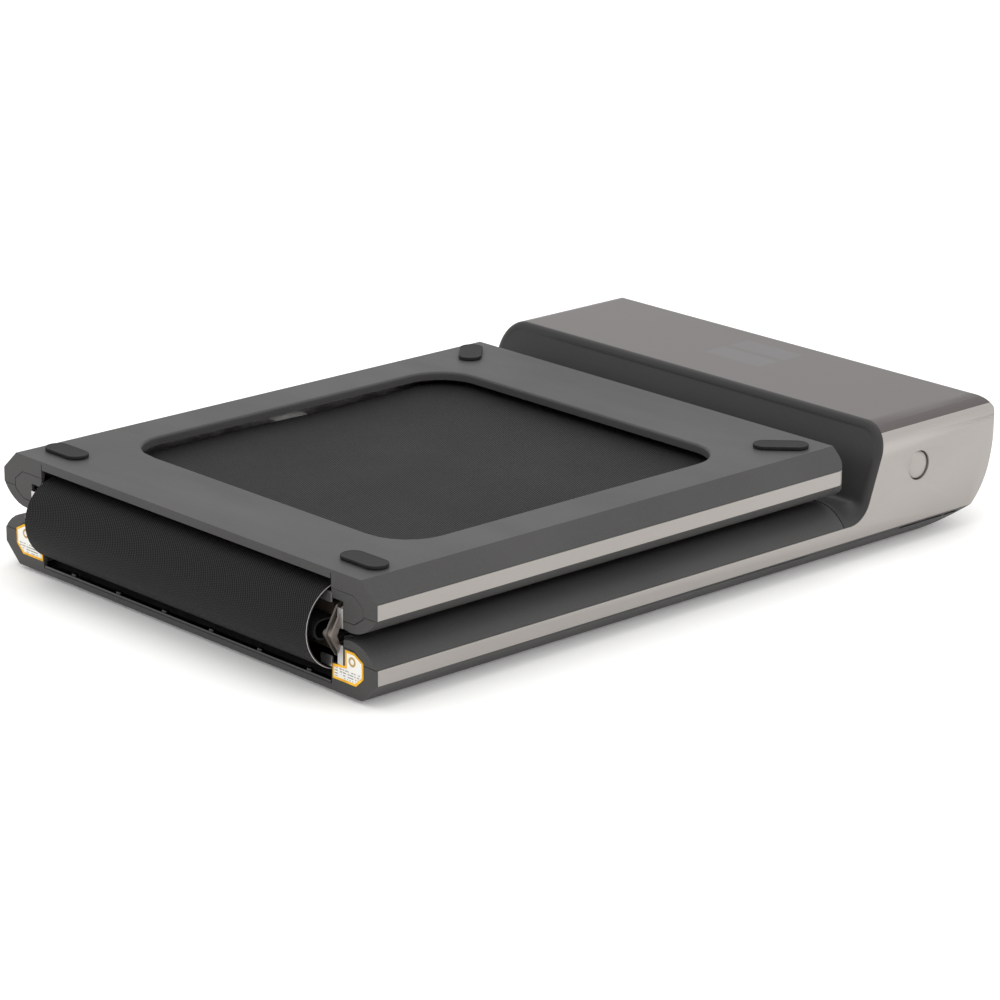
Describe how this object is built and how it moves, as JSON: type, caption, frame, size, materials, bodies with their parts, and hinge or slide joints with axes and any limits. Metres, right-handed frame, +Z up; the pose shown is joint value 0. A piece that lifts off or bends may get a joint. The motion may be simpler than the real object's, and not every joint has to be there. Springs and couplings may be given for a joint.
{
  "type": "folding treadmill",
  "caption": "Flat walking treadmill that folds in half for storage, with a motor housing at the front, a running belt on two decks, and round-ended rubber feet",
  "frame": {"origin": "centre of the footprint on the floor, with the treadmill folded", "axes": "+X from the fold to the motor housing, +Y to the walker's left, +Z up"},
  "size_m": [0.8446, 0.547, 0.129],
  "materials": {
    "dark_plastic": "fine-grained charcoal moulded plastic, satin",
    "rear_cover_plastic": "smooth near-black charcoal plastic, satin",
    "top_cover_paint": "warm grey-brown metallic paint, satin",
    "side_panel_paint": "warm silver satin metal",
    "belt_fabric": "black running belt with a fine diagonal weave",
    "rubber": "dark matte rubber",
    "black_plastic": "glossy black",
    "steel": "plain bright steel",
    "cast_steel": "brown-grey cast hinge metal",
    "board": "dark coated fibreboard",
    "motor_casing": "black paint on a steel can"
  },
  "bodies": {
    "base": {"belly_pan": "dark_plastic", "belt_inner_fold": "belt_fabric", "belt_outer_fold": "belt_fabric", "display_module": "black_plastic", "drive_belt": "rubber", "front_cross_member": "steel", "front_deck_board": "board", "front_end_cap_left": "dark_plastic", "front_end_cap_right": "dark_plastic", "front_fold_foot_left": "rubber", "front_fold_foot_right": "rubber", "front_frame_rail_left": "steel", "front_frame_rail_right": "steel", "front_hinge_arm_left": "cast_steel", "front_hinge_arm_right": "cast_steel", "front_nose_foot_left": "rubber", "front_nose_foot_right": "rubber", "front_rail_cover_left": "dark_plastic", "front_rail_cover_right": "dark_plastic", "front_roller_axle": "cast_steel", "hinge_pin_left": "steel", "hinge_pin_right": "steel", "housing_rear_cover": "rear_cover_plastic", "housing_top_cover": "top_cover_paint", "lip_plate": "black_plastic", "motor": "motor_casing", "motor_bracket": "steel", "motor_controller": "steel", "power_inlet": "black_plastic", "running_belt_front": "belt_fabric", "side_panel_left": "side_panel_paint", "side_panel_right": "side_panel_paint", "side_plug_left": "side_panel_paint", "side_plug_right": "side_panel_paint"},
    "rear_deck": {"rear_belly_panel": "dark_plastic", "rear_cross_member": "steel", "rear_deck_board": "board", "rear_end_cap_left": "dark_plastic", "rear_end_cap_right": "dark_plastic", "rear_end_cover": "dark_plastic", "rear_end_foot_left": "rubber", "rear_end_foot_right": "rubber", "rear_fold_foot_left": "rubber", "rear_fold_foot_right": "rubber", "rear_frame_rail_left": "steel", "rear_frame_rail_right": "steel", "rear_hinge_arm_left": "cast_steel", "rear_hinge_arm_right": "cast_steel", "rear_rail_cover_left": "dark_plastic", "rear_rail_cover_right": "dark_plastic", "rear_roller_axle": "cast_steel", "running_belt_rear": "belt_fabric", "trim_strip_left": "side_panel_paint", "trim_strip_right": "side_panel_paint"},
    "front_roller": {"front_roller": "steel"},
    "rear_roller": {"rear_roller": "steel"},
    "motor_shaft": {"motor_pulley": "steel"},
    "wheel_left": {"transport_wheel_left": "rubber"},
    "wheel_right": {"transport_wheel_right": "rubber"},
    "rocker": {"power_switch": "black_plastic"}
  },
  "joints": [
    {"name": "fold", "type": "hinge", "parent": "base", "child": "rear_deck", "pos_m": [-0.4037, 0, 0.06], "axis": [0, -1, 0], "range_deg": [0, 180], "deforming": ["belt_outer_fold", "belt_inner_fold"]},
    {"name": "front_roller_spin", "type": "hinge", "parent": "base", "child": "front_roller", "pos_m": [0.2423, 0, 0.0355], "axis": [0, 1, 0], "continuous": true},
    {"name": "rear_roller_spin", "type": "hinge", "parent": "rear_deck", "child": "rear_roller", "pos_m": [0.1773, 0, 0.0845], "axis": [0, 1, 0], "continuous": true},
    {"name": "motor_spin", "type": "hinge", "parent": "base", "child": "motor_shaft", "pos_m": [0.3303, 0.2, 0.062], "axis": [0, 1, 0], "continuous": true},
    {"name": "wheel_left_spin", "type": "hinge", "parent": "base", "child": "wheel_left", "pos_m": [0.3623, 0.2, 0.017], "axis": [0, 1, 0], "continuous": true},
    {"name": "wheel_right_spin", "type": "hinge", "parent": "base", "child": "wheel_right", "pos_m": [0.3623, -0.2, 0.017], "axis": [0, 1, 0], "continuous": true},
    {"name": "power_switch_rock", "type": "hinge", "parent": "base", "child": "rocker", "pos_m": [0.4073, 0.15872, 0.076], "axis": [0, 1, 0], "range_deg": [0, 10]}
  ],
  "couplings": [
    {"joint": "rear_roller_spin", "follows": "front_roller_spin", "ratio": 1},
    {"joint": "motor_spin", "follows": "front_roller_spin", "ratio": 3}
  ]
}
